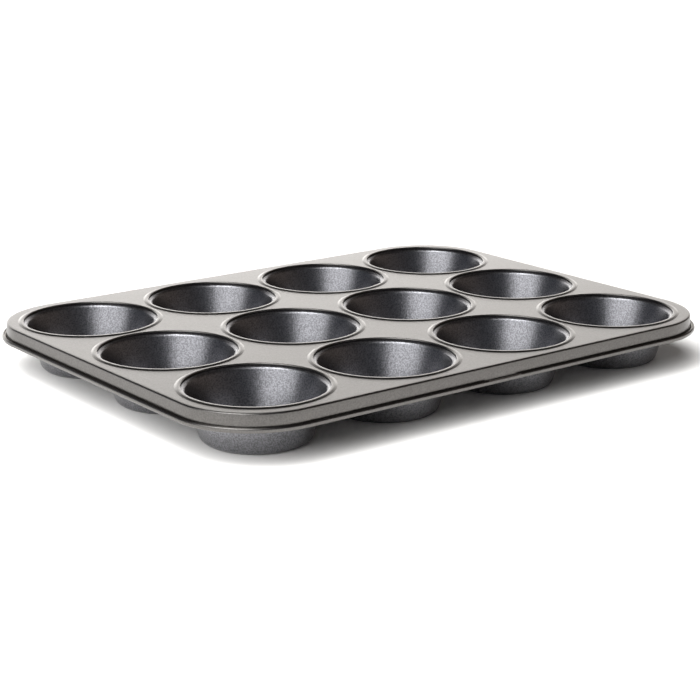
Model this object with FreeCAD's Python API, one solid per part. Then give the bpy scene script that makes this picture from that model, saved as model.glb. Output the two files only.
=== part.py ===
"""Twelve-cup muffin tin: a pressed sheet frame with a wired edge, and twelve drawn cups seamed into it.

Millimetres. The origin is at the middle of the tin, on the surface that it stands on. +X runs along
the side with four cups, +Y along the side with three, and +Z is up.
"""
import FreeCAD, Part
import math
import os

Vector = FreeCAD.Vector
UP = Vector(0, 0, 1)

# Layout, seen from above
COLUMNS = 4
ROWS = "abc"
PITCH = 83.5  # between cup centres, the same both ways
MARGIN = 47.0  # from the outer cup centres to the skirt
CORNER_RADIUS = 44.0  # of the skirt

# Sheet and wire
SHEET = 0.4
WIRE_RADIUS = 0.95
WIRE_CLEARANCE = 0.05

# Heights above the surface that the cups stand on
SEAM_CREST = 29.05
RING_RISE = 0.55  # the seam's crest over the flat plate
PLATE_TOP = SEAM_CREST - RING_RISE

# Cup, by its inside face
MOUTH_RADIUS = 36.3  # where the wall's line would meet the flange
WALL_TAPER = 16.0  # degrees from upright
BASE_BEND = 4.5
SHOULDER_BEND = 1.4

# Lock seam: a hem of the plate and a hem of the cup, hooked into each other
SEAM_INNER = 38.2  # radius of the plate's folded edge, which frames the mouth
SEAM_GRIP = 1.3  # between the centres of the two folds
HEM_INSIDE = SHEET / 2  # a hem closes on one thickness of the other sheet
HEM_OUTSIDE = HEM_INSIDE + SHEET
HEM_END_GAP = 0.05  # between a hem's raw edge and the other hem's fold
CREST_OVERHANG = 0.15  # how far the crest runs past the cup's fold before it slopes down
RING_SLOPE = 38.0  # degrees, from the crest down to the flat plate
RING_BEND = 0.3  # inside radius at the slope's foot and crest

# Skirt and rolled bead
SKIRT_BEND = 1.3  # outside radius where the plate turns down
SKIRT_FLARE = 3.0  # degrees from upright
RIM_DEPTH = 9.5  # from the plate's top to the bead's underside
BEAD_WRAP = 235.0  # degrees that the sheet turns round the wire

# The two notches in the bead's raw edge, either side of the wire's butt joint
NOTCH_X = (-10.0, 10.0)
NOTCH_LENGTH = 2.8
NOTCH_DEPTH = 0.8

# Worked out from the above
FLANGE_TOP = SEAM_CREST - 2 * HEM_OUTSIDE
PLATE_FOLD = SEAM_INNER + HEM_OUTSIDE
CUP_FOLD = PLATE_FOLD + SEAM_GRIP
CREST_END = CUP_FOLD + CREST_OVERHANG
HALF_LENGTH = PITCH * (COLUMNS - 1) / 2 + MARGIN
HALF_WIDTH = PITCH * (len(ROWS) - 1) / 2 + MARGIN
BEAD_INSIDE = WIRE_RADIUS + WIRE_CLEARANCE
BEAD_CENTRE_Z = PLATE_TOP - RIM_DEPTH + BEAD_INSIDE + SHEET


def tangent_length(radius, degrees):
    """How much of each straight a bend takes up, short of the corner that it rounds."""
    return radius * math.tan(math.radians(degrees) / 2)


def right_of(turn):
    return Vector(math.sin(turn), 0, -math.cos(turn))


def section(start, heading, moves, thickness):
    """A face of bent sheet in the XZ plane, drawn as a bend schedule.

    The pen follows one face of the sheet from start, facing heading degrees. Each move is a length
    and then a bend: its angle, positive to the left, and its radius on the pen's face. thickness is
    the distance to the sheet's other face, positive to the pen's right.
    """
    pen = Vector(start[0], 0, start[1])
    turn = math.radians(heading)
    offsets = (0, thickness)
    edges = [Part.LineSegment(pen, pen + right_of(turn) * thickness).toShape()]
    for length, angle, radius in moves:
        ahead = Vector(math.cos(turn), 0, math.sin(turn)) * length
        if length:
            for offset in offsets:
                face = pen + right_of(turn) * offset
                edges.append(Part.LineSegment(face, face + ahead).toShape())
        pen = pen + ahead
        if angle:
            bend = math.radians(angle)
            reach = math.copysign(radius, angle)
            hub = pen - right_of(turn) * reach
            for offset in offsets:
                arc = [hub + right_of(turn + bend * share) * (reach + offset) for share in (0, 0.5, 1)]
                edges.append(Part.Arc(*arc).toShape())
            turn += bend
            pen = hub + right_of(turn) * reach
    edges.append(Part.LineSegment(pen, pen + right_of(turn) * thickness).toShape())
    return Part.Face(Part.Wire(Part.sortEdges(edges)[0]))


def turned(face):
    """The section turned once round the Z axis."""
    return face.revolve(Vector(0, 0, 0), UP, 360)


def cup_section():
    """From the middle of the base, up the wall, out through the shoulder and back through the hem."""
    steepness = 90 - WALL_TAPER
    depth = FLANGE_TOP - SHEET
    lean = math.radians(WALL_TAPER)
    base_corner = MOUTH_RADIUS - depth * math.tan(lean)
    base_tangent = tangent_length(BASE_BEND, steepness)
    shoulder_tangent = tangent_length(SHOULDER_BEND, steepness)
    wall = depth / math.cos(lean) - base_tangent - shoulder_tangent
    flange = CUP_FOLD - MOUTH_RADIUS - shoulder_tangent
    moves = [
        (base_corner - base_tangent, steepness, BASE_BEND),
        (wall, -steepness, SHOULDER_BEND),
        (flange, 180, HEM_INSIDE),
        (SEAM_GRIP - HEM_OUTSIDE - HEM_END_GAP, 0, 0),
    ]
    return section((0, SHEET), 0, moves, SHEET)


def seam_section():
    """The plate's side of a seam: up the ring's slope, over the crest and back through the hem."""
    outside_bend = RING_BEND + SHEET
    slope = math.radians(RING_SLOPE)
    bends_rise = (RING_BEND + outside_bend) * (1 - math.cos(slope))
    bends_run = (RING_BEND + outside_bend) * math.sin(slope)
    straight = (RING_RISE - bends_rise) / math.sin(slope)
    foot = CREST_END + bends_run + straight * math.cos(slope)
    moves = [
        (0, -RING_SLOPE, RING_BEND),
        (straight, RING_SLOPE, outside_bend),
        (CREST_END - PLATE_FOLD, 180, HEM_OUTSIDE),
        (SEAM_GRIP - HEM_END_GAP, 0, 0),
    ]
    return foot, section((foot, PLATE_TOP), 180, moves, -SHEET)


def rim_section():
    """From a corner's centre out over the plate, down the skirt and round the wire.

    x is counted from the corner's centre. The wire's centre line comes first, as an (x, z) pair.
    """
    flare = math.radians(SKIRT_FLARE)
    bends = SKIRT_BEND + BEAD_INSIDE
    drop = PLATE_TOP - SKIRT_BEND - BEAD_CENTRE_Z
    skirt = (drop + bends * math.sin(flare)) / math.cos(flare)
    flat = CORNER_RADIUS - SKIRT_BEND
    bead_x = flat + bends * math.cos(flare) + skirt * math.sin(flare)
    moves = [
        (flat, SKIRT_FLARE - 90, SKIRT_BEND),
        (skirt, BEAD_WRAP, BEAD_INSIDE),
    ]
    return (bead_x, BEAD_CENTRE_Z), section((0, PLATE_TOP), 0, moves, SHEET)


def around_outline(face):
    """A section carried round the tin's outline: four quarter turns and the four straight sides."""
    flat_x = HALF_LENGTH - CORNER_RADIUS
    flat_y = HALF_WIDTH - CORNER_RADIUS
    pieces = []
    for x, y, start in ((1, -1, -90), (1, 1, 0), (-1, 1, 90), (-1, -1, 180)):
        corner = Vector(x * flat_x, y * flat_y, 0)
        quarter = face.revolve(Vector(0, 0, 0), UP, 90)
        quarter.rotate(Vector(0, 0, 0), UP, start)
        quarter.translate(corner)
        along = math.radians(start + 180)
        side = face.copy()
        side.rotate(Vector(0, 0, 0), UP, start + 90)
        side.translate(corner)
        run = Vector(2 * flat_x * math.cos(along), 2 * flat_y * math.sin(along), 0)
        pieces += [quarter, side.extrude(run)]
    return pieces


def one_solid(pieces):
    """Touching pieces joined, with the seams between coplanar and coaxial faces taken out."""
    return pieces[0].fuse(pieces[1:]).removeSplitter().Solids[0]


def cup_centres():
    """Each cup's name and place. Row a is the side with the wire's joint."""
    for row, letter in enumerate(ROWS):
        for column in range(COLUMNS):
            x = (column - (COLUMNS - 1) / 2) * PITCH
            y = (row - (len(ROWS) - 1) / 2) * PITCH
            yield f"cup_{letter}{column + 1}", Vector(x, y, 0)


def notch(x, bead_x):
    """What one notch takes out of the bead's raw edge, on the side of row a."""
    bead_y = HALF_WIDTH - CORNER_RADIUS + bead_x
    reach = BEAD_INSIDE + SHEET
    floor = BEAD_CENTRE_Z + reach - NOTCH_DEPTH
    corner = Vector(x - NOTCH_LENGTH / 2, -bead_y - 2 * reach, floor)
    return Part.makeBox(NOTCH_LENGTH, 2 * reach, reach, corner)


def frame_solid():
    (bead_x, _), rim = rim_section()
    flat_x = HALF_LENGTH - CORNER_RADIUS
    flat_y = HALF_WIDTH - CORNER_RADIUS
    corner = Vector(-flat_x, -flat_y, PLATE_TOP - SHEET)
    middle = Part.makeBox(2 * flat_x, 2 * flat_y, SHEET, corner)
    plate = one_solid([middle] + around_outline(rim))
    foot, seam = seam_section()
    hole = Part.makeCylinder(foot, PLATE_TOP, Vector(0, 0, SHEET))
    ring = turned(seam)
    holes = []
    rings = []
    for _, centre in cup_centres():
        holes.append(hole.translated(centre))
        rings.append(ring.translated(centre))
    notches = [notch(x, bead_x) for x in NOTCH_X]
    return one_solid([plate.cut(holes + notches)] + rings)


def wire_solid():
    (bead_x, bead_z), _ = rim_section()
    circle = Part.makeCircle(WIRE_RADIUS, Vector(bead_x, 0, bead_z), Vector(0, 1, 0))
    return one_solid(around_outline(Part.Face(Part.Wire(circle))))


def write(shape, node):
    shape.exportStep(f"parts/{node}.step")
    box = shape.optimalBoundingBox(False)
    size = f"{box.XLength:.2f} x {box.YLength:.2f} x {box.ZLength:.2f} mm"
    print(f"{node}: {size}, {shape.Volume:.0f} mm3, {len(shape.Faces)} faces, valid {shape.isValid()}")


os.makedirs("parts", exist_ok=True)
write(frame_solid(), "frame")
write(wire_solid(), "rim_wire")
cup = turned(cup_section())
for name, place in cup_centres():
    write(cup.translated(place), name)
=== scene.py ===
# %% [markdown]
# # A twelve-cup muffin tin
#
# On a bench the real tin comes apart into fourteen pieces of steel: one pressed sheet, the round wire
# that its edge is rolled over, and twelve drawn cups, each hooked into the sheet by a folded seam.
# Everything but the wire wears a grey non-stick coat.
#
# An engineering model of the same pieces is loaded first as a fixed frame, and every place is read from
# it. The pieces are then modelled again with Blender's own tools, because soft reflections need meshes
# whose faces flow evenly round each bend. Lengths are in metres, and z is up.

# %% Load the frame
import bmesh
import bpy
import math
from mathutils import Matrix, Vector


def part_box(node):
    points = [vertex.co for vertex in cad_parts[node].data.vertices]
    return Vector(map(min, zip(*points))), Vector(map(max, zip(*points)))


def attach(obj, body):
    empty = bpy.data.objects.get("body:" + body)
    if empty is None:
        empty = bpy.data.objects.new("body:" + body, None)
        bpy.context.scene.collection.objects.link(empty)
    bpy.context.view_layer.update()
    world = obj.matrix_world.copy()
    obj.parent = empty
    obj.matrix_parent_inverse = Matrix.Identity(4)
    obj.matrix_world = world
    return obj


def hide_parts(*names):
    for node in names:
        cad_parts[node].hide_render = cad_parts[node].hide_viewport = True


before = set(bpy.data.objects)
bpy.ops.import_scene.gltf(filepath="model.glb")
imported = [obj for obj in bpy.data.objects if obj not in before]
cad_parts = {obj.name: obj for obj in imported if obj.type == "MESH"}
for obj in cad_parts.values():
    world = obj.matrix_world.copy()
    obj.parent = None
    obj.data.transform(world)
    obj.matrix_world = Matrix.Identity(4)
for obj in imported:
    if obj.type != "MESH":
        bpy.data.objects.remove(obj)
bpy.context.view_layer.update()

# %% [markdown]
# ## What the frame says
#
# Thin sheet is easiest to model as a single skin half way through its thickness. A Solidify modifier
# then gives it both faces. So the sizes below are those of that middle skin. The seam between a cup and
# the sheet is a stack of four layers, and each layer lies one thickness below the last.

# %% Places and heights
MM = 0.001
SHEET = 0.4 * MM

cup_names = sorted(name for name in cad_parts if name.startswith("cup_"))
cup_boxes = {name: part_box(name) for name in cup_names}
cup_places = {}
for name, (low, high) in cup_boxes.items():
    cup_places[name] = Vector(((low.x + high.x) / 2, (low.y + high.y) / 2, 0))
frame_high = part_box("frame")[1]
wire_low, wire_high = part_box("rim_wire")

crest_z = frame_high.z - SHEET / 2
cup_hem_z = crest_z - SHEET
hook_z = crest_z - 2 * SHEET
flange_z = crest_z - 3 * SHEET
floor_z = SHEET / 2

wire_radius = (wire_high.z - wire_low.z) / 2
wire_z = (wire_high.z + wire_low.z) / 2
bead_radius = frame_high.x - wire_high.x + wire_radius - SHEET / 2
print(len(cup_names), "cups")
print("wire", round(wire_radius * 2000, 2), "mm thick, its centre", round(wire_z * 1000, 2), "mm up")

# %% [markdown]
# ## Helpers for edit mode
#
# Each piece starts as a primitive and is shaped in edit mode. A script can't click on an edge, so it
# selects by place: it asks of every vertex, edge or face whether it lies where the next tool should work.

# %% Start, pick and extrude
CLOSE = 0.01 * MM


def begin(add_primitive, name, **settings):
    """Add a primitive, put its place into its mesh, and open it in edit mode with all of it selected."""
    bpy.ops.object.select_all(action="DESELECT")
    add_primitive(**settings)
    piece = bpy.context.object
    piece.name = name
    piece.data.name = name
    bpy.ops.object.transform_apply(location=True, rotation=True, scale=True)
    bpy.ops.object.mode_set(mode="EDIT")
    bpy.ops.mesh.select_mode(type="VERT")
    bpy.ops.mesh.select_all(action="SELECT")
    return piece


def pick(kind, test, border=False):
    """Select only the vertices, edges or faces whose every corner passes the test."""
    bpy.ops.mesh.select_mode(type=kind)
    bpy.ops.mesh.select_all(action="DESELECT")
    mesh = bmesh.from_edit_mesh(bpy.context.edit_object.data)
    for item in {"VERT": mesh.verts, "EDGE": mesh.edges, "FACE": mesh.faces}[kind]:
        corners = [item] if kind == "VERT" else item.verts
        if all(test(corner.co) for corner in corners) and not (border and not item.is_boundary):
            item.select_set(True)
    bmesh.update_edit_mesh(bpy.context.edit_object.data)


def near(value, goal):
    return abs(value - goal) < CLOSE


def from_axis(point):
    return math.hypot(point.x, point.y)


def extrude(x, y, z):
    bpy.ops.mesh.extrude_region_move(TRANSFORM_OT_translate={"value": (x, y, z)})


# %% [markdown]
# ## Rings of sheet
#
# A cup and a seam are both round, so each is a stack of rings. Extruding the open edge and scaling it
# about the axis makes one more band of sheet. Where two bands meet in a sharp corner, a bevel rolls the
# corner into the bend that the press tool leaves. The bevel's width is the bend's tangent length.

# %% Bands and bends
RING_STEPS = 128


def bands(corners):
    """From the selected ring, one band of sheet to each further corner, as (radius, height)."""
    for (radius, height), (next_radius, next_height) in zip(corners, corners[1:]):
        extrude(0, 0, next_height - height)
        ratio = next_radius / radius
        bpy.ops.transform.resize(value=(ratio, ratio, 1), center_override=(0, 0, 0))


def bend(corner, radius, degrees, steps):
    """Roll the ring of edges at one corner into a bend."""
    pick("EDGE", lambda point: near(from_axis(point), corner[0]) and near(point.z, corner[1]))
    width = radius * math.tan(math.radians(degrees) / 2)
    bpy.ops.mesh.bevel(offset=width, offset_type="OFFSET", segments=steps, affect="EDGES")


def fold(corners):
    """Two right-angle bends that meet, so that the sheet turns back on itself round another sheet."""
    for corner in corners:
        bend(corner, SHEET, 90, steps=4)
    bpy.ops.mesh.select_all(action="SELECT")
    bpy.ops.mesh.remove_doubles(threshold=2 * CLOSE)


print("each ring turns in", RING_STEPS, "steps")

# %% [markdown]
# ## From skin to sheet
#
# The real pieces are steel of one even thickness. Solidify could grow the skin to one side only, but
# then every size above would have to allow for it, so it grows evenly to both sides here. Normals are
# made to agree first, because Solidify follows them. Smooth shading stops at 40 degrees, so that the raw
# edges of the sheet stay crisp.

# %% Thickness and shading
RAW_EDGE = math.radians(40)


def thicken(piece):
    """Leave edit mode, give the skin its thickness and smooth all but the raw edges."""
    bpy.ops.mesh.select_all(action="SELECT")
    bpy.ops.mesh.normals_make_consistent(inside=False)
    bpy.ops.object.mode_set(mode="OBJECT")
    wall = piece.modifiers.new("Sheet thickness", "SOLIDIFY")
    wall.thickness = SHEET
    wall.offset = 0
    wall.use_even_offset = True
    wall.use_quality_normals = True
    bpy.ops.object.modifier_apply(modifier=wall.name)
    bpy.ops.object.shade_smooth_by_angle(angle=RAW_EDGE)
    box = [round(side * 1000, 2) for side in piece.dimensions]
    print(piece.name, len(piece.data.polygons), "faces, box in mm", box)


# %% [markdown]
# ## The cup
#
# The real cup is one disc of steel, drawn down in a press through a round die. That leaves a flat floor,
# a generous bend at its corner, a wall that leans out so that a muffin drops free, and a tight shoulder.
# The flange beyond the shoulder is folded up and back for the seam. Modelling it takes the same order:
# a circle for the floor, bands for wall, flange and hem, then a bevel for each tool radius.

# %% Draw one cup
WALL_TAPER = 16
MOUTH_RADIUS = 36.45 * MM
BASE_BEND = 4.7 * MM
SHOULDER_BEND = 2.2 * MM
HEM_LENGTH = 1.05 * MM

low, high = cup_boxes[cup_names[0]]
hem_radius = (high.x - low.x - SHEET) / 2
wall_run = (flange_z - floor_z) * math.tan(math.radians(WALL_TAPER))
base_corner = (MOUTH_RADIUS - wall_run, floor_z)
mouth_corner = (MOUTH_RADIUS, flange_z)
hem_corners = [(hem_radius, flange_z), (hem_radius, cup_hem_z)]
hem_end = (hem_radius - HEM_LENGTH, cup_hem_z)

cup = begin(bpy.ops.mesh.primitive_circle_add, "cup_pattern",
            vertices=RING_STEPS, radius=base_corner[0], location=(0, 0, floor_z))
bands([base_corner, mouth_corner, *hem_corners, hem_end])
pick("EDGE", lambda point: near(point.z, floor_z))
bpy.ops.mesh.edge_face_add()
bend(base_corner, BASE_BEND, 90 - WALL_TAPER, steps=10)
bend(mouth_corner, SHOULDER_BEND, 90 - WALL_TAPER, steps=5)
fold(hem_corners)
thicken(cup)

# %% [markdown]
# ## Copies with their own meshes
#
# Twelve cups come off one die, so one pattern is copied. Each copy gets a mesh of its own, moved to
# its place inside the mesh, so that every object keeps its origin at the tin's.

# %% Set out the twelve cups
def copy_to(pattern, name, place):
    twin = pattern.copy()
    twin.data = pattern.data.copy()
    twin.data.transform(Matrix.Translation(place))
    twin.name = name
    twin.data.name = name
    bpy.context.collection.objects.link(twin)
    return twin


cups = {name: copy_to(cup, f"drawn_{name}", place) for name, place in cup_places.items()}
bpy.data.objects.remove(cup)
for name, place in cup_places.items():
    print(name, "at", [round(value * 1000, 2) for value in place.xy])

# %% [markdown]
# ## The rim
#
# All round the tin the sheet turns down into a short skirt, and the skirt's edge is curled round a wire.
# The curl is why a thin sheet feels stiff and has no sharp edge. Its raw end stops short of the skirt
# and leaves a narrow dark groove.
#
# A curve with a bevel object could draw the rim, but its corners would be hard to weld to the plate. So
# the section is drawn as a chain of edges, to be swept later. It lies at the start of the front side. A
# square gets its corners bevelled into the curl's bends, because the press leaves the curl's front
# almost flat. The stretch between the raw end and the skirt is deleted, and one edge goes up the skirt
# and one onto the plate.

# %% Draw the rim's section
CORNER_RADIUS = 44 * MM
WIRE_OVERHANG = 1.353 * MM
SKIRT_FLARE = math.radians(3)
CURL_BEND = 0.85 * MM
PLATE_RISE = 0.55 * MM
FLAT_BAND = 2 * MM

plate_z = crest_z - PLATE_RISE
half_length = wire_high.x - wire_radius
half_width = wire_high.y - wire_radius
skirt_foot = wire_z - bead_radius + CURL_BEND
skirt_height = plate_z - skirt_foot
skirt_lean = skirt_height * math.tan(SKIRT_FLARE)

# the wire runs this far outside the centres that the corners turn about
CORNER_TO_WIRE = CORNER_RADIUS + WIRE_OVERHANG
flat_x = half_length - CORNER_TO_WIRE
flat_y = half_width - CORNER_TO_WIRE

rim = begin(bpy.ops.mesh.primitive_circle_add, "pressed_sheet",
            vertices=4, radius=bead_radius * math.sqrt(2), location=(-flat_x, -half_width, wire_z),
            rotation=(math.radians(90), math.radians(45), math.radians(-90)))
bpy.ops.mesh.bevel(offset=CURL_BEND, segments=10, affect="VERTICES")
pick("VERT", lambda point: point.z > skirt_foot + CLOSE and point.y > -half_width)
bpy.ops.mesh.delete(type="VERT")
pick("VERT", lambda point: near(point.z, skirt_foot) and point.y > -half_width)
extrude(0, skirt_lean, skirt_height)
extrude(0, FLAT_BAND, 0)
print("skirt", round(skirt_height * 1000, 2), "mm from the curl up to the plate")

# %% [markdown]
# ## Carry the section round the tin
#
# The press makes the whole rim in one stroke. Here Extrude carries the section along each side and Spin
# turns it round each corner, which gives long clean faces on the sides and even ones on the corners. The
# last spin ends where the first side began, and merging the doubles closes the ring. The front side is
# extruded in five runs, so that edges lie where its two small notches will be cut.

# %% Sweep along the sides and corners
CORNER_STEPS = 24
NOTCH_X = 10 * MM
NOTCH_LENGTH = 2.8 * MM


def carry_round(front_stops):
    """Sweep the whole section along the four sides and corners, and close it on itself."""
    bpy.ops.mesh.select_mode(type="VERT")
    bpy.ops.mesh.select_all(action="SELECT")
    stops = [-flat_x, *front_stops, flat_x]
    for start, stop in zip(stops, stops[1:]):
        extrude(stop - start, 0, 0)
    next_runs = [(0, 2 * flat_y), (-2 * flat_x, 0), (0, -2 * flat_y), None]
    for x, y, run in zip((1, 1, -1, -1), (-1, 1, 1, -1), next_runs):
        # seen from above, Spin turns clockwise about an axis that points up
        bpy.ops.mesh.spin(steps=CORNER_STEPS, angle=math.radians(90),
                          center=(x * flat_x, y * flat_y, 0), axis=(0, 0, -1))
        if run:
            extrude(*run, 0)
    bpy.ops.mesh.select_all(action="SELECT")
    bpy.ops.mesh.remove_doubles(threshold=CLOSE)


notch_ends = [side * NOTCH_X + end * NOTCH_LENGTH / 2 for side in (-1, 1) for end in (-1, 1)]
carry_round(notch_ends)
print("the ring closed with", len(bmesh.from_edit_mesh(rim.data).faces), "faces")

# %% [markdown]
# ## Turn the plate into the skirt
#
# Plate and skirt meet in a sharp corner so far. On the tin it is a small bend that catches the light in a
# thin line. The section could have held the bend from the start, but a bevel on the finished ring needs
# only one radius, which is easy to change.

# %% Bend the skirt's corner
SKIRT_BEND = 0.7 * MM
skirt_corner = CORNER_TO_WIRE - bead_radius - skirt_lean


def out_from_core(point):
    """How far a point lies outside the rectangle of the four corner centres."""
    return math.hypot(max(abs(point.x) - flat_x, 0), max(abs(point.y) - flat_y, 0))


pick("EDGE", lambda point: near(point.z, plate_z) and near(out_from_core(point), skirt_corner))
bend_width = SKIRT_BEND * math.tan((math.radians(90) - SKIRT_FLARE) / 2)
bpy.ops.mesh.bevel(offset=bend_width, offset_type="OFFSET", segments=6, affect="EDGES")
print("plate turns down", round(skirt_corner * 1000, 2), "mm outside the corner centres")

# %% [markdown]
# ## The two notches
#
# The curl's raw edge has two small notches, one each side of the place where the wire's ends meet. A
# boolean would leave odd slivers on so thin a skin. The sweep already left edges at the notches' ends,
# so faces can simply be deleted. The test looks only at a face's corners, so the long faces between the
# two notches pass it as well, and the edge is lowered there too, in one run of 22.8 mm.

# %% Cut the notches
NOTCH_DEPTH = 0.8 * MM
notch_floor = wire_z + bead_radius + SHEET / 2 - NOTCH_DEPTH


def in_a_notch(point):
    beside = abs(abs(point.x) - NOTCH_X) < NOTCH_LENGTH / 2 + CLOSE
    return beside and point.y < -half_width and point.z > notch_floor


pick("FACE", in_a_notch)
bpy.ops.mesh.delete(type="FACE")
bpy.ops.object.mode_set(mode="OBJECT")
print("rim after the cut:", len(rim.data.polygons), "faces")

# %% [markdown]
# ## The seams' upper half
#
# Round each hole the plate rises a little, runs level, and folds down and back outwards as a hook that
# holds the cup's hem. It could be pressed out of the plate's own mesh, but twelve round holes in one flat
# face leave no clean rings to work on. So it is a stack of rings again, made once and copied.

# %% Fold one seam
SEAM_RADIUS = 38.4 * MM
HOOK_LENGTH = 1.65 * MM
SLOPE = 22
SLOPE_BEND = 0.8 * MM
CREST_END = 40.0 * MM
BAND_END = 41.6 * MM

fold_corners = [(SEAM_RADIUS, hook_z), (SEAM_RADIUS, crest_z)]
crest_corner = (CREST_END, crest_z)
foot_corner = (CREST_END + PLATE_RISE / math.tan(math.radians(SLOPE)), plate_z)
hook_end = (SEAM_RADIUS + HOOK_LENGTH, hook_z)

seam = begin(bpy.ops.mesh.primitive_circle_add, "seam_pattern",
             vertices=RING_STEPS, radius=hook_end[0], location=(0, 0, hook_z))
bands([hook_end, *fold_corners, crest_corner, foot_corner, (BAND_END, plate_z)])
bend(crest_corner, SLOPE_BEND, SLOPE, steps=3)
bend(foot_corner, SLOPE_BEND, SLOPE, steps=3)
fold(fold_corners)
bpy.ops.object.mode_set(mode="OBJECT")
print("seam from", round(SEAM_RADIUS * 1000, 2), "to", round(foot_corner[0] * 1000, 2), "mm off the axis")

# %% [markdown]
# ## Fill the plate
#
# The rim and the twelve seams are joined into one mesh, and Fill closes the flat plate between
# their open edges. A narrow flat band beside every bend keeps the plate's normals upright, so the flat
# part stays flat in a reflection.

# %% Join, fill and thicken the sheet
seams = [copy_to(seam, f"seam_{name}", place) for name, place in cup_places.items()]
bpy.data.objects.remove(seam)
bpy.ops.object.select_all(action="DESELECT")
for piece in (rim, *seams):
    piece.select_set(True)
bpy.context.view_layer.objects.active = rim
bpy.ops.object.join()
bpy.ops.object.mode_set(mode="EDIT")
pick("EDGE", lambda point: near(point.z, plate_z), border=True)
bpy.ops.mesh.fill(use_beauty=True)
thicken(rim)

# %% [markdown]
# ## The wire
#
# The wire gives the curl its size and takes the load when the tin is lifted by its edge. It
# shows only in the groove and in the notches. A curve with a round bevel would do, but a circle swept by
# the same route is sure to lie inside the curl.

# %% Sweep the wire
WIRE_STEPS = 24
wire = begin(bpy.ops.mesh.primitive_circle_add, "edge_wire",
             vertices=WIRE_STEPS, radius=wire_radius, location=(-flat_x, -half_width, wire_z),
             rotation=(math.radians(90), 0, math.radians(-90)))
carry_round([])
bpy.ops.mesh.normals_make_consistent(inside=False)
bpy.ops.object.mode_set(mode="OBJECT")
bpy.ops.object.shade_smooth()
print("wire box in mm", [round(side * 1000, 2) for side in wire.dimensions])

# %% [markdown]
# ## Fasten the pieces to the frame
#
# Nothing on the tin moves, so every piece rides on the one body. Each new piece stands for the part
# of the engineering model that it copies.

# %% Ride and replace
for name, piece in cups.items():
    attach(piece, "root")
    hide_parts(name)
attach(rim, "root")
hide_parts("frame")
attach(wire, "root")
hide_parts("rim_wire")

# %% [markdown]
# ## Colours and nodes
#
# A finish is a small net of shader nodes. Colours are picked as sRGB hex values, as in the colour picker,
# and the shader wants them linear. Patterns are laid out in millimetres through the object's own
# coordinates, so that a grain is as large on a cup as on the rim.

# %% Colour and node helpers
def linear(hex_colour):
    """An sRGB hex value as linear red, green, blue and alpha."""
    shares = [int(hex_colour[start:start + 2], 16) / 255 for start in (1, 3, 5)]
    return [share / 12.92 if share <= 0.04045 else ((share + 0.055) / 1.055) ** 2.4 for share in shares] + [1]


def add_node(tree, kind, inputs, **settings):
    """Add one node, set its properties, and give each named input a value or another node's output."""
    added = tree.nodes.new(kind)
    for name, value in settings.items():
        setattr(added, name, value)
    for name, value in inputs.items():
        if isinstance(value, bpy.types.NodeSocket):
            tree.links.new(value, added.inputs[name])
        else:
            added.inputs[name].default_value = value
    return added


def new_material(name):
    """An empty node material, its tree, and the coordinates that its patterns lie in."""
    material = bpy.data.materials.new(name)
    material.use_nodes = True
    tree = material.node_tree
    tree.nodes.clear()
    place = add_node(tree, "ShaderNodeTexCoord", {}).outputs["Object"]
    return material, tree, place


def per_metre(grain_mm):
    """A noise scale whose grains are about that size."""
    return 1000 / grain_mm


# %% [markdown]
# ## The non-stick coat
#
# The grey coat is a thin film of PTFE with fine metal flakes, sprayed on and baked. The flakes make it
# mirror its surroundings like a dull metal, and the baked film keeps a fine pebbled grain that breaks
# highlights into specks. So the shader is a metal of low reflectance, satin rough, with two sizes of grain
# in its bump and a flake that makes it a little lighter and darker from spot to spot. Real flakes are
# under 0.1 mm, too fine to show from here, so they are drawn at 0.8 mm. The cups carry more flake than the
# sheet, whose broad flats look even.

# %% Non-stick coat
FLAKE_MM = 0.8
# noise seldom strays far from 0.5, so a narrow range is stretched from dark to light
FLAKE_DARK = 0.36
FLAKE_LIGHT = 0.64
GRAIN_MM = 0.9
PEBBLE_MM = 3.5
PEBBLE_HEIGHT = 0.012 * MM
ROUGHNESS = 0.3
ROUGHNESS_SWING = 0.05


def coated_steel(name, light, dark, grain_height):
    material, tree, place = new_material(name)
    grain = add_node(tree, "ShaderNodeTexNoise", {"Vector": place, "Scale": per_metre(GRAIN_MM), "Detail": 2})
    flake = add_node(tree, "ShaderNodeTexNoise", {"Vector": place, "Scale": per_metre(FLAKE_MM), "Detail": 1})
    sparkle = add_node(tree, "ShaderNodeMapRange",
                       {"Value": flake.outputs["Fac"], "From Min": FLAKE_DARK, "From Max": FLAKE_LIGHT})
    tone = add_node(tree, "ShaderNodeMix",
                    {"Factor": sparkle.outputs["Result"], "A": linear(dark), "B": linear(light)},
                    data_type="RGBA")
    satin = add_node(tree, "ShaderNodeMapRange",
                     {"Value": grain.outputs["Fac"], "To Min": ROUGHNESS - ROUGHNESS_SWING,
                      "To Max": ROUGHNESS + ROUGHNESS_SWING})
    pebble = add_node(tree, "ShaderNodeTexNoise",
                      {"Vector": place, "Scale": per_metre(PEBBLE_MM), "Detail": 1})
    peel = add_node(tree, "ShaderNodeBump",
                    {"Height": pebble.outputs["Fac"], "Strength": 1, "Distance": PEBBLE_HEIGHT})
    speck = add_node(tree, "ShaderNodeBump",
                     {"Height": grain.outputs["Fac"], "Strength": 1, "Distance": grain_height,
                      "Normal": peel.outputs["Normal"]})
    shader = add_node(tree, "ShaderNodeBsdfPrincipled",
                      {"Base Color": tone.outputs["Result"], "Metallic": 1,
                       "Roughness": satin.outputs["Result"], "Normal": speck.outputs["Normal"]})
    add_node(tree, "ShaderNodeOutputMaterial", {"Surface": shader.outputs["BSDF"]})
    return material


# a calm, slightly warm grey that takes the tone of whatever it faces. It is darker than the cups' copy of the
# same coat: painted shade, so that the skirt mirrors the bright floor as dimmer
sheet_coat_darkened_as_painted_shade = coated_steel("Grey non-stick coat on pressed sheet", "#6e6c6a", "#63615f", 0.03 * MM)
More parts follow.
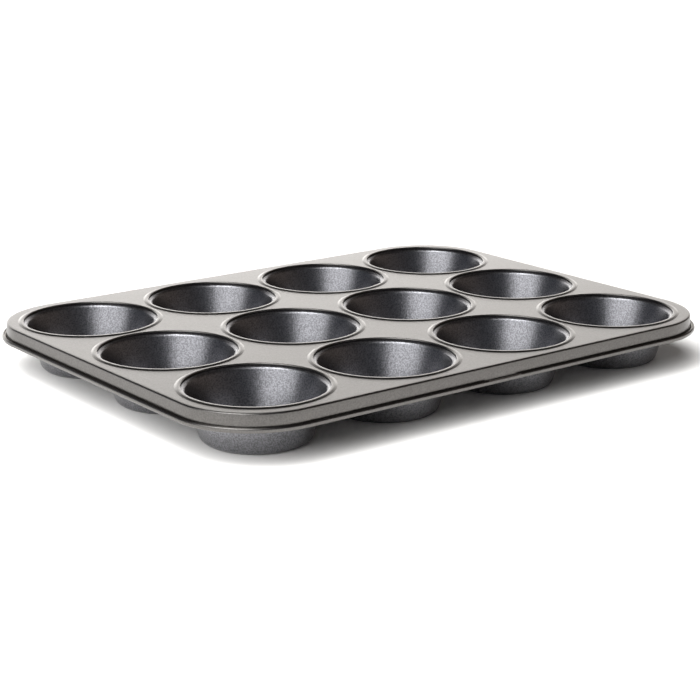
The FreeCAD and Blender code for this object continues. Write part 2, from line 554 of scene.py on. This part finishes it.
# a cooler grey whose flake glitters where light falls into the cup
cup_coat = coated_steel("Grey non-stick coat on drawn cup", "#8f8f93", "#6e6e71", 0.1 * MM)
print("coats:", sheet_coat_darkened_as_painted_shade.name, "/", cup_coat.name)

# %% [markdown]
# ## The wire's steel
#
# The wire is bare mild steel, drawn through a die. The die leaves it satin, and duller in some stretches
# than in others. A plain metal shader with a noise in its roughness is enough for so small a part.

# %% Wire steel
DULL_PATCH_MM = 1.5
BRIGHT_ROUGHNESS = 0.3
DULL_ROUGHNESS = 0.5

steel, steel_tree, steel_place = new_material("Drawn mild steel wire")
patch = add_node(steel_tree, "ShaderNodeTexNoise",
                 {"Vector": steel_place, "Scale": per_metre(DULL_PATCH_MM), "Detail": 3})
steel_satin = add_node(steel_tree, "ShaderNodeMapRange",
                       {"Value": patch.outputs["Fac"], "To Min": BRIGHT_ROUGHNESS,
                        "To Max": DULL_ROUGHNESS})
steel_shader = add_node(steel_tree, "ShaderNodeBsdfPrincipled",
                        {"Base Color": linear("#aaa6a1"), "Metallic": 1,
                         "Roughness": steel_satin.outputs["Result"]})
add_node(steel_tree, "ShaderNodeOutputMaterial", {"Surface": steel_shader.outputs["BSDF"]})
print("wire:", steel.name)

# %% [markdown]
# ## Dress the pieces
#
# A piece with several finishes needs a material slot for each, and its faces assigned to them. Here each
# piece wears one finish from edge to edge, so one slot is enough.

# %% Give each piece its finish
def dress(piece, material):
    piece.data.materials.clear()
    piece.data.materials.append(material)


# the sheet wears the darker copy of the coat, whose lower tone is painted shade
dress(rim, sheet_coat_darkened_as_painted_shade)
dress(wire, steel)
for piece in cups.values():
    dress(piece, cup_coat)
print(len(cups) + 2, "pieces dressed")

# %% [markdown]
# ## The floor
#
# The tin stands on a sheet of matt white paper. The skirt and the cups' outsides mirror it, so its
# brightness sets theirs. A sheet curved up behind the tin could hide its own far edge, but a flat one this
# wide has no edge in view.

# %% Lay the floor
FLOOR_SIZE = 24
floor = begin(bpy.ops.mesh.primitive_plane_add, "studio_floor", size=FLOOR_SIZE)
bpy.ops.mesh.subdivide(number_cuts=3)
bpy.ops.object.mode_set(mode="OBJECT")
paper, paper_tree, _ = new_material("Matt white paper")
paper_shader = add_node(paper_tree, "ShaderNodeBsdfPrincipled",
                        {"Base Color": linear("#f2f1ef"), "Roughness": 0.9, "Specular IOR Level": 0.1})
add_node(paper_tree, "ShaderNodeOutputMaterial", {"Surface": paper_shader.outputs["BSDF"]})
dress(floor, paper)
print("floor", FLOOR_SIZE, "m wide")

# %% [markdown]
# ## The room
#
# A satin metal has hardly any colour of its own: it shows the room. The flat plate mirrors a white
# backdrop, low down behind the tin and brightest at its foot. The cups' walls mirror what is behind the
# camera, which is a dim room, darkest overhead. Large white cards could make this, but a painted sky
# casts no shadows and is easy to tune. It is two glows added together.

# %% Sky of the studio
BACKDROP_SIDE = Vector((0.42, 0.91, 0)).normalized()
BACKDROP_GLOW = 5.1
# the backdrop fades out 30 degrees up, and about 47 degrees to each side
BACKDROP_TOP = 0.5
BACKDROP_EDGE = 0.68
ROOM_GLOW = 0.34
OVERHEAD_GLOW = 0.06

world = bpy.data.worlds.new("Studio")
bpy.context.scene.world = world
world.use_nodes = True
sky = world.node_tree
sky.nodes.clear()
looking = add_node(sky, "ShaderNodeTexCoord", {}).outputs["Generated"]
axes = add_node(sky, "ShaderNodeSeparateXYZ", {"Vector": looking}).outputs

low_down = add_node(sky, "ShaderNodeMapRange", {"Value": axes["Z"], "From Min": BACKDROP_TOP, "From Max": 0,
                                                "To Max": BACKDROP_GLOW})
towards = add_node(sky, "ShaderNodeVectorMath", {0: looking, 1: BACKDROP_SIDE}, operation="DOT_PRODUCT")
behind = add_node(sky, "ShaderNodeMapRange",
                  {"Value": towards.outputs["Value"], "From Min": BACKDROP_EDGE, "From Max": 1})
backdrop = add_node(sky, "ShaderNodeMath", {0: low_down.outputs["Result"], 1: behind.outputs["Result"]},
                    operation="MULTIPLY")
backdrop_light = add_node(sky, "ShaderNodeBackground",
                          {"Color": linear("#fffdfa"), "Strength": backdrop.outputs["Value"]})

# the room is cool at the left and warm at the right
to_right = add_node(sky, "ShaderNodeMapRange", {"Value": axes["X"], "From Min": -0.3, "From Max": 0.8})
room = add_node(sky, "ShaderNodeMix",
                {"Factor": to_right.outputs["Result"], "A": linear("#b4b9c8"), "B": linear("#f0dccf")},
                data_type="RGBA")
upwards = add_node(sky, "ShaderNodeMapRange", {"Value": axes["Z"], "From Min": 0, "From Max": 0.6,
                                               "To Min": ROOM_GLOW, "To Max": OVERHEAD_GLOW})
room_light = add_node(sky, "ShaderNodeBackground",
                      {"Color": room.outputs["Result"], "Strength": upwards.outputs["Result"]})
both = add_node(sky, "ShaderNodeAddShader",
                {0: backdrop_light.outputs["Background"], 1: room_light.outputs["Background"]})
add_node(sky, "ShaderNodeOutputWorld", {"Surface": both.outputs["Shader"]})
print("backdrop glows", round(BACKDROP_GLOW / ROOM_GLOW), "times as bright as the room")

# %% [markdown]
# ## Aim a lamp or a camera
#
# Both look along their own -Z. So each is put some way off in a chosen direction, and its Z axis is turned
# to point away from the tin.

# %% Directions
middle = Vector((0, 0, plate_z))


def direction(azimuth, elevation):
    """A unit vector. Azimuth is counted in degrees from the front side of the tin, towards +X."""
    turn = math.radians(azimuth)
    rise = math.radians(elevation)
    return Vector((math.sin(turn) * math.cos(rise), -math.cos(turn) * math.cos(rise), math.sin(rise)))


def aim(thing, away, distance, target=middle):
    """Put a lamp or camera on that side of a point, looking back at it."""
    holder = bpy.data.objects.new(thing.name, thing)
    holder.location = target + away * distance
    holder.rotation_euler = away.to_track_quat("Z", "Y").to_euler()
    bpy.context.collection.objects.link(holder)
    print(thing.name, "at", [round(value, 2) for value in holder.location])
    return holder


# %% [markdown]
# ## Soft lights
#
# A large soft box at the left draws the broad bright band inside each cup. A smaller one above it puts the
# short highlights on the cups' shoulders. The floor also needs an even wash of light to look white. The
# wash is a wide sun that reflections leave out, or it would show in every bend.

# %% Lamps
def soft_box(name, width, height, radiance):
    """A rectangular area lamp. Its power follows from how bright its face should look."""
    lamp = bpy.data.lights.new(name, "AREA")
    lamp.shape = "RECTANGLE"
    lamp.size = width
    lamp.size_y = height
    lamp.energy = radiance * math.pi * width * height
    return lamp


WASH_SPREAD = math.radians(75)
WASH_STRENGTH = 4.3

aim(soft_box("left_soft_box", width=1.4, height=1.4, radiance=2.3), direction(-75, 38), distance=1.3)
aim(soft_box("high_soft_box", width=0.7, height=0.7, radiance=6), direction(-78, 62), distance=1.5)
wash = bpy.data.lights.new("floor_wash", "SUN")
wash.angle = WASH_SPREAD
wash.energy = WASH_STRENGTH
aim(wash, direction(-80, 52), distance=2).visible_glossy = False

# %% [markdown]
# ## The camera
#
# It looks down at the near corner of the tin from about a metre away, through a long lens that keeps the
# far cups almost as large as the near ones. It aims at a point on the plate, a little towards that corner.

# %% Camera
CAMERA_AZIMUTH = -37.54
CAMERA_ELEVATION = 15.605
CAMERA_DISTANCE = 0.9775
CAMERA_LENS = 92.9
CAMERA_TARGET = Vector((-47.5 * MM, -60.5 * MM, plate_z + SHEET / 2))
camera = aim(bpy.data.cameras.new("camera"), direction(CAMERA_AZIMUTH, CAMERA_ELEVATION), CAMERA_DISTANCE,
             CAMERA_TARGET)
camera.data.lens = CAMERA_LENS
bpy.context.scene.camera = camera
bpy.context.scene.view_settings.view_transform = "Standard"
